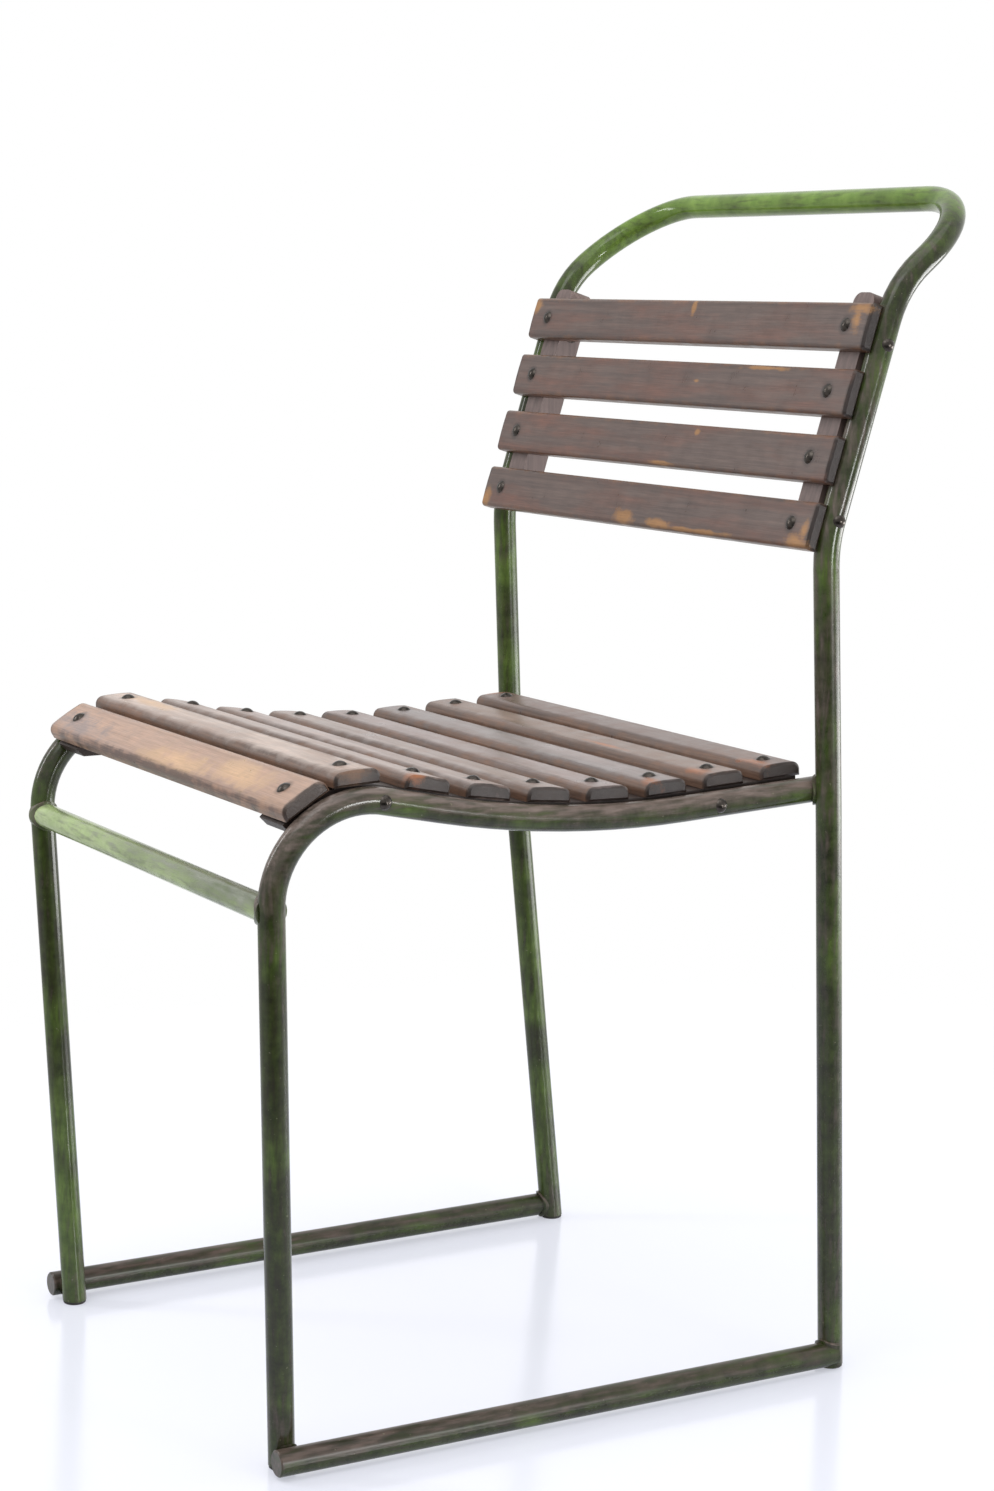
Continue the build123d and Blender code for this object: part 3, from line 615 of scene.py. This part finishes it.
def brown_batten(name, grain_scale, tones):
    """Evenly stained beech, with grain along the batten."""
    material, tree = start(name)
    place = add(tree, "TexCoord").outputs["Object"]
    drawn = add(tree, "VectorMath", [place, grain_scale], operation="MULTIPLY")
    grain = add(tree, "TexNoise", {"Vector": drawn, "Scale": 1.0, "Detail": WOOD_DETAIL})
    wood = add(tree, "Mix", {FACTOR: grain, FIRST: tones[0], SECOND: tones[1]}, data_type="RGBA")
    rough = add(tree, "MapRange", {"Value": grain, **BATTEN_SHEEN})
    bump = add(tree, "Bump", {"Height": grain, "Strength": BATTEN_RELIEF, "Distance": BATTEN_DEPTH})
    finish(tree, {"Base Color": wood, "Roughness": rough, "Normal": bump})
    return material


grain_on_y = (grain_across, grain_along, grain_across)
grain_on_z = (grain_across, grain_across, grain_along)
shaded_under_seat = brown_batten("stained_beech_seat_batten_painted_shade", grain_on_y, SHADED_SEAT_BATTEN)
dress(["seat_batten_left", "seat_batten_right"], shaded_under_seat)
behind_back = brown_batten("stained_beech_back_batten", grain_on_z, BACK_BATTEN)
dress(["back_batten_left", "back_batten_right"], behind_back)

# %% [markdown]
# The bolts are plain forged steel that has gone dark. A metal has no colour under its mirror, so the eye
# sees dark reflections, sharp where the domes are brushed and blurred where they are stained. An even
# grey would look like plastic, so noise of the size of a stain steers both tone and roughness. The
# washers of the seat rails were painted over, and wear the stretcher's enamel.

# %% Dark steel
STAIN, STAIN_DETAIL = 4.0, 4.0
DARK_STEEL = ("#1d1b19", "#605a55")
STEEL_SHEEN = {"To Min": 0.15, "To Max": 0.4}
steel, tree = start("dark_steel_bolts")
place = add(tree, "TexCoord").outputs["Object"]
stain = add(tree, "TexNoise", {"Vector": place, "Scale": per_metre(STAIN), "Detail": STAIN_DETAIL})
tone = add(tree, "Mix", {FACTOR: stain, FIRST: DARK_STEEL[0], SECOND: DARK_STEEL[1]}, data_type="RGBA")
rough = add(tree, "MapRange", {"Value": stain, **STEEL_SHEEN})
finish(tree, {"Base Color": tone, "Metallic": 1.0, "Roughness": rough})
dress([name for name in chair if name.split("_")[-1] in ("bolts", "nuts", "washers")], steel)
dress(["seat_rail_washers"], chalky)

# %% [markdown]
# The plugs in the legs are moulded black rubber. It scatters light at its rough skin, so the eye sees no
# mirror in it, only a matt black. A pure black would look like a hole, so dust greys it in spots.

# %% Black rubber
DUST, DUST_DETAIL = 6.0, 5.0
DUSTY_BLACK = ("#141413", "#3d3a36")
MATT = 0.75
rubber, tree = start("black_rubber_plugs")
place = add(tree, "TexCoord").outputs["Object"]
dust = add(tree, "TexNoise", {"Vector": place, "Scale": per_metre(DUST), "Detail": DUST_DETAIL})
tone = add(tree, "Mix", {FACTOR: dust, FIRST: DUSTY_BLACK[0], SECOND: DUSTY_BLACK[1]}, data_type="RGBA")
finish(tree, {"Base Color": tone, "Roughness": MATT})
dress([name for name in chair if name.startswith("foot_plug")], rubber)

# %% [markdown]
# ## Camera
# The view was fitted to the photograph: the camera stands to the sitter's left front, a little over two
# metres away, and looks down by nine degrees. Its aim is three turns, because a fitted view has a small
# roll that a simple look-at aim would lose.

# %% Camera
FOCAL_PIXELS = 2998.52
IMAGE_WIDTH = 994
SENSOR_WIDTH = 36.0
EYE = Vector((1.99902, -1.12158, 0.81272))
HEADING = math.radians(150.527)
TILT = math.radians(8.6537)
ROLL = math.radians(0.512)
QUARTER = math.radians(90)
camera_data = bpy.data.cameras.new("front_left_view")
camera_data.sensor_fit = "HORIZONTAL"
camera_data.sensor_width = SENSOR_WIDTH
camera_data.lens = FOCAL_PIXELS * SENSOR_WIDTH / IMAGE_WIDTH
camera = bpy.data.objects.new("front_left_view", camera_data)
turned = Matrix.Rotation(HEADING - QUARTER, 4, "Z") @ Matrix.Rotation(QUARTER - TILT, 4, "X")
camera.matrix_world = Matrix.Translation(EYE) @ turned @ Matrix.Rotation(ROLL, 4, "Z")
bpy.context.scene.collection.objects.link(camera)
bpy.context.scene.camera = camera
bpy.context.scene.view_settings.view_transform = "Standard"
print("lens", round(camera_data.lens, 1), "mm")

# %% [markdown]
# ## Studio
# The chair stands on a floor of pale gloss paint in front of white. To the eye that is a soft, short
# mirror under each foot. A curved backdrop could make the white, but its edges would show from other
# sides. So the floor fades out around the chair, and beyond it the camera sees the white world. Camera
# rays and reflections find the floor a touch brighter than it is, so it looks almost white and still
# takes a shadow.

# %% Floor
FLOOR_HALF = 3.0
FADE_FROM, FADE_TO = 0.15, 0.9
FLOOR_LIFT = 0.5
FLOOR_GLOSS = 0.16
FLOOR_PAINT, FLOOR_GLOW = "#b9bbc4", "#eceef8"
corners = [(x * FLOOR_HALF, y * FLOOR_HALF, 0) for x, y in ((-1, -1), (1, -1), (1, 1), (-1, 1))]
mesh = bpy.data.meshes.new("studio_floor")
mesh.from_pydata(corners, [], [(0, 1, 2, 3)])
floor = bpy.data.objects.new("studio_floor", mesh)
bpy.context.scene.collection.objects.link(floor)
pale, tree = start("pale_gloss_paint_floor")
path = add(tree, "LightPath").outputs
seen = add(tree, "Math", [path["Is Camera Ray"], path["Is Glossy Ray"]], operation="MAXIMUM")
lift = add(tree, "Math", [seen, FLOOR_LIFT], operation="MULTIPLY")
place = add(tree, "TexCoord").outputs["Object"]
beside = add(tree, "VectorMath", [place], operation="ABSOLUTE")
beside = add(tree, "VectorMath", [beside, cad_box[1]], operation="SUBTRACT")
beside = add(tree, "VectorMath", [beside, (0, 0, 0)], operation="MAXIMUM")
away = add(tree, "VectorMath", [beside], operation="LENGTH")
solid = add(tree, "MapRange", [away, FADE_FROM, FADE_TO, 1.0, 0.0], interpolation_type="SMOOTHSTEP")
finish(tree, {"Base Color": FLOOR_PAINT, "Roughness": FLOOR_GLOSS, "Alpha": solid,
              "Emission Color": FLOOR_GLOW, "Emission Strength": lift})
mesh.materials.append(pale)
print("the floor has faded out", FADE_TO, "m from the chair's box")

# %% [markdown]
# The room around the chair is white behind it and towards the camera's right. On the camera's side it is
# light above the floor and dark low down in the middle, so leaning tubes shine softly while the legs stay
# dark between bright rims. A picture of a room would do this too, but a few ramps over the direction are
# easier to adjust. Gloss shows the white wall as bright as the camera sees it, while the light that falls
# on the chair from there is lower.

# %% World light
LOW_LEVEL, SIDE_LEVEL, FRONT_LEVEL = 0.05, 0.7, 0.7
BEHIND_LEVEL = 0.6
OVERHEAD_LEVEL = 0.2
WALL_TURN = math.radians(35)
# These spans are cosines: of the angle to the camera's side, to straight up and to the wall's middle.
MIDDLE_SPAN = (0.5, 0.95)
HORIZON_SPAN = (-0.1, 0.1)
CEILING_SPAN = (0.1, 0.9)
WALL_SPAN = (-0.1, 0.5)
level_ahead = Vector((math.cos(HEADING), math.sin(HEADING), 0))
level_right = Vector((level_ahead.y, -level_ahead.x, 0))
wall_middle = level_ahead * math.cos(WALL_TURN) + level_right * math.sin(WALL_TURN)
world = bpy.data.worlds.new("white_studio")
bpy.context.scene.world = world
world.use_nodes = True
tree = world.node_tree
tree.nodes.clear()
facing = add(tree, "TexCoord").outputs["Generated"]
path = add(tree, "LightPath").outputs
height = add(tree, "SeparateXYZ", [facing]).outputs["Z"]
nearness = add(tree, "VectorMath", [facing, -level_ahead], operation="DOT_PRODUCT")
low = add(tree, "MapRange", [nearness, *MIDDLE_SPAN, SIDE_LEVEL, LOW_LEVEL])
front = add(tree, "MapRange", [height, *HORIZON_SPAN, low, FRONT_LEVEL])
ceiling = add(tree, "MapRange", [height, *CEILING_SPAN, 0.0, OVERHEAD_LEVEL])
farness = add(tree, "VectorMath", [facing, wall_middle], operation="DOT_PRODUCT")
wall = add(tree, "MapRange", [farness, *WALL_SPAN])
walls = add(tree, "Mix", {FACTOR: wall, A_FLOAT: front, B_FLOAT: BEHIND_LEVEL}, data_type="FLOAT")
room = add(tree, "Math", [walls, ceiling], operation="ADD")
white = add(tree, "Math", [path["Is Glossy Ray"], wall, path["Is Camera Ray"]], operation="MULTIPLY_ADD")
level = add(tree, "Math", [room, white], operation="MAXIMUM")
add(tree, "OutputWorld", [add(tree, "Background", {"Color": "#ffffff", "Strength": level})])
print("world light from", FRONT_LEVEL, "in front to", BEHIND_LEVEL, "behind")

# %% [markdown]
# Five lamps shape the light. One large lamp would do for the wood, but a round tube shows only what it
# mirrors, so each of its highlights has a lamp. A softbox overhead lights the tops of slats and tubes,
# and another stands high in front. A low wide panel behind the chair draws the pale line down the rear
# edge of the tubes, and a small strip at the camera's right the stripe inside the leaning upright. A tall
# lamp like a window on the far side puts a gleam on the outside of the bends. The camera does not see the
# lamps themselves.

# %% Softboxes
AIM = Vector((0, 0, 0.5))
# Each lamp has its power in watts, its width and depth in metres, and its place.
LAMPS = {
    "overhead_softbox": (9.0, 2.0, 1.6, Vector((0.3, -0.2, 2.4))),
    "front_softbox": (8.0, 1.2, 1.2, Vector((0.7, -1.4, 2.6))),
    "side_panel": (16.0, 1.3, 0.4, Vector((0.7, 1.75, 0.22))),
    "right_strip": (16.0, 0.5, 0.45, Vector((2.75, 0.85, 0.58))),
    "far_window": (9.0, 0.25, 1.1, Vector((-1.27, -1.61, 1.44))),
}
for name, (watts, width, depth, spot) in LAMPS.items():
    lamp = bpy.data.lights.new(name, "AREA")
    lamp.shape = "RECTANGLE"
    lamp.size = width
    lamp.size_y = depth
    lamp.energy = watts
    softbox = bpy.data.objects.new(name, lamp)
    softbox.location = spot
    softbox.rotation_euler = (AIM - spot).to_track_quat("-Z", "Y").to_euler()
    softbox.visible_camera = False
    bpy.context.scene.collection.objects.link(softbox)
    print(name, "of", watts, "W")
